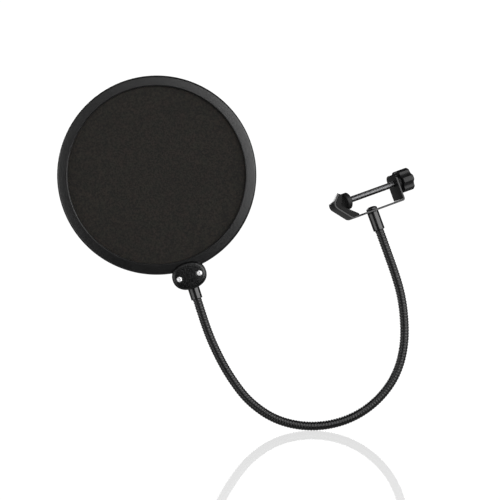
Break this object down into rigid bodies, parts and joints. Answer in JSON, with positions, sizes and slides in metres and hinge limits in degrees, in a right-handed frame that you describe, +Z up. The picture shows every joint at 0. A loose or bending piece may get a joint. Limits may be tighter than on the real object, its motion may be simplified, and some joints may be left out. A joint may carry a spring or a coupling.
{
  "type": "pop filter",
  "caption": "Round double-screen microphone pop filter on a bendable gooseneck with a V-jaw screw clamp for a stand.",
  "frame": {"origin": "where the clamp grips a microphone stand, on the axis of the clamp screw", "axes": "+Z up, +X right, +Y away from the user's side of the screen; the gooseneck and the screens stand across Y"},
  "size_m": [0.2792, 0.0466, 0.276],
  "materials": {
    "black_coat": "satin black coating on bent steel strip",
    "jaw_rubber": "matt soft black",
    "screw_steel": "plated, bright on the crests",
    "knob_plastic": "fine grained black",
    "pad_plastic": "black",
    "neck_black": "glossy black over steel wire",
    "spring_steel": "plain drawn wire",
    "ferrule_black": "glossy black turned tube",
    "rim_plastic": "satin, fine grained black",
    "screen_nylon": "fine woven black-brown screen",
    "hoop_plastic": "plain black",
    "housing_plastic": "fine grained black",
    "screw_bright": "bright plated crosshead screws"
  },
  "bodies": {
    "bracket": {"clamp_bracket": "black_coat", "jaw_lining": "jaw_rubber"},
    "pad": {"pressure_pad": "pad_plastic"},
    "screw": {"clamp_screw": "screw_steel", "knob": "knob_plastic"},
    "neck_01": {"swivel_screw": "black_coat", "clamp_ferrule": "ferrule_black", "neck_winding_01": "neck_black", "neck_spring_01": "spring_steel"},
    "neck_02": {"neck_winding_02": "neck_black", "neck_spring_02": "spring_steel"},
    "neck_03": {"neck_winding_03": "neck_black", "neck_spring_03": "spring_steel"},
    "neck_04": {"neck_winding_04": "neck_black", "neck_spring_04": "spring_steel"},
    "neck_05": {"neck_winding_05": "neck_black", "neck_spring_05": "spring_steel"},
    "neck_06": {"neck_winding_06": "neck_black", "neck_spring_06": "spring_steel"},
    "neck_07": {"neck_winding_07": "neck_black", "neck_spring_07": "spring_steel"},
    "neck_08": {"neck_winding_08": "neck_black", "neck_spring_08": "spring_steel"},
    "neck_09": {"neck_winding_09": "neck_black", "neck_spring_09": "spring_steel"},
    "neck_10": {"neck_winding_10": "neck_black", "neck_spring_10": "spring_steel"},
    "neck_11": {"neck_winding_11": "neck_black", "neck_spring_11": "spring_steel"},
    "neck_12": {"neck_winding_12": "neck_black", "neck_spring_12": "spring_steel"},
    "neck_13": {"neck_winding_13": "neck_black", "neck_spring_13": "spring_steel"},
    "head": {"neck_winding_14": "neck_black", "neck_spring_14": "spring_steel", "head_ferrule": "ferrule_black", "housing_front": "housing_plastic", "housing_rear": "housing_plastic", "housing_screws": "screw_bright", "front_rim": "rim_plastic", "rear_rim": "rim_plastic", "front_screen": "screen_nylon", "rear_screen": "screen_nylon", "front_hoop": "hoop_plastic", "rear_hoop": "hoop_plastic"}
  },
  "joints": [
    {"name": "clamp_swivel", "type": "hinge", "parent": "bracket", "child": "neck_01", "pos_m": [0.02653, 0.01216, -0.00604], "axis": [-0.342, 0, 0.9397], "range_deg": [-90, 90]},
    {"name": "clamp_end_side_1", "type": "hinge", "parent": "neck_01", "child": "neck_02", "pos_m": [0.04124, 0.01216, -0.04645], "axis": [-0.9469, 0, -0.3214], "range_deg": [-20, 20]},
    {"name": "clamp_end_bend_1", "type": "hinge", "parent": "neck_02", "child": "neck_03", "pos_m": [0.04845, 0.01216, -0.06934], "axis": [0.0001, 1, 0], "range_deg": [-15.39, 1.55]},
    {"name": "clamp_end_side_2", "type": "hinge", "parent": "neck_03", "child": "neck_04", "pos_m": [0.05136, 0.01216, -0.09145], "axis": [-0.9988, 0, -0.048], "range_deg": [-20.01, 20.01]},
    {"name": "clamp_end_bend_2", "type": "hinge", "parent": "neck_04", "child": "neck_05", "pos_m": [0.05059, 0.01216, -0.11374], "axis": [0.0001, 1, 0], "range_deg": [-23.86, 2.39]},
    {"name": "clamp_end_bend_3", "type": "hinge", "parent": "neck_05", "child": "neck_06", "pos_m": [0.04388, 0.01216, -0.135], "axis": [0.0001, 1, 0], "range_deg": [-30, 3]},
    {"name": "clamp_end_bend_4", "type": "hinge", "parent": "neck_06", "child": "neck_07", "pos_m": [0.03046, 0.01216, -0.15281], "axis": [0.0001, 1, 0], "range_deg": [-26.93, 2.7]},
    {"name": "clamp_end_bend_5", "type": "hinge", "parent": "neck_07", "child": "neck_08", "pos_m": [0.0123, 0.01216, -0.16576], "axis": [0.0001, 1, 0], "range_deg": [-27.7, 2.78]},
    {"name": "head_end_bend_1", "type": "hinge", "parent": "neck_08", "child": "neck_09", "pos_m": [-0.00896, 0.01216, -0.17247], "axis": [0.0001, 1, 0], "range_deg": [-25.51, 1.71]},
    {"name": "head_end_bend_2", "type": "hinge", "parent": "neck_09", "child": "neck_10", "pos_m": [-0.03126, 0.01216, -0.17266], "axis": [0.0001, 1, 0], "range_deg": [-26.26, 1.76]},
    {"name": "head_end_bend_3", "type": "hinge", "parent": "neck_10", "child": "neck_11", "pos_m": [-0.05259, 0.01216, -0.16614], "axis": [0.0001, 1, 0], "range_deg": [-30, 2]},
    {"name": "head_end_bend_4", "type": "hinge", "parent": "neck_11", "child": "neck_12", "pos_m": [-0.07199, 0.01216, -0.15152], "axis": [0.0001, 1, 0], "range_deg": [-26.26, 1.76]},
    {"name": "head_end_side_1", "type": "hinge", "parent": "neck_12", "child": "neck_13", "pos_m": [-0.08779, 0.01216, -0.12938], "axis": [0.8594, 0, 0.5113], "range_deg": [-20, 20]},
    {"name": "head_end_side_2", "type": "hinge", "parent": "neck_13", "child": "head", "pos_m": [-0.10094, 0.01216, -0.10241], "axis": [0.9272, 0, 0.3746], "range_deg": [-20.01, 20.01]},
    {"name": "pad_travel", "type": "slide", "parent": "bracket", "child": "pad", "axis": [0.8297, 0.4695, 0.302], "range_m": [0, 0.036]},
    {"name": "screw_turn", "type": "hinge", "parent": "pad", "child": "screw", "pos_m": [0.03319, 0.01878, 0.01208], "axis": [0.8297, 0.4695, 0.302], "range_deg": [-2, 16202]}
  ],
  "couplings": [
    {"joint": "clamp_end_bend_1", "follows": "clamp_end_bend_3", "ratio": 0.5128},
    {"joint": "clamp_end_side_2", "follows": "clamp_end_side_1", "ratio": 1},
    {"joint": "clamp_end_bend_2", "follows": "clamp_end_bend_3", "ratio": 0.7949},
    {"joint": "clamp_end_bend_4", "follows": "clamp_end_bend_3", "ratio": 0.8974},
    {"joint": "clamp_end_bend_5", "follows": "clamp_end_bend_3", "ratio": 0.9231},
    {"joint": "head_end_bend_1", "follows": "head_end_bend_3", "ratio": 0.85},
    {"joint": "head_end_bend_2", "follows": "head_end_bend_3", "ratio": 0.875},
    {"joint": "head_end_bend_4", "follows": "head_end_bend_3", "ratio": 0.875},
    {"joint": "head_end_side_2", "follows": "head_end_side_1", "ratio": 1},
    {"joint": "screw_turn", "follows": "pad_travel", "rad_per_m": 7854}
  ]
}
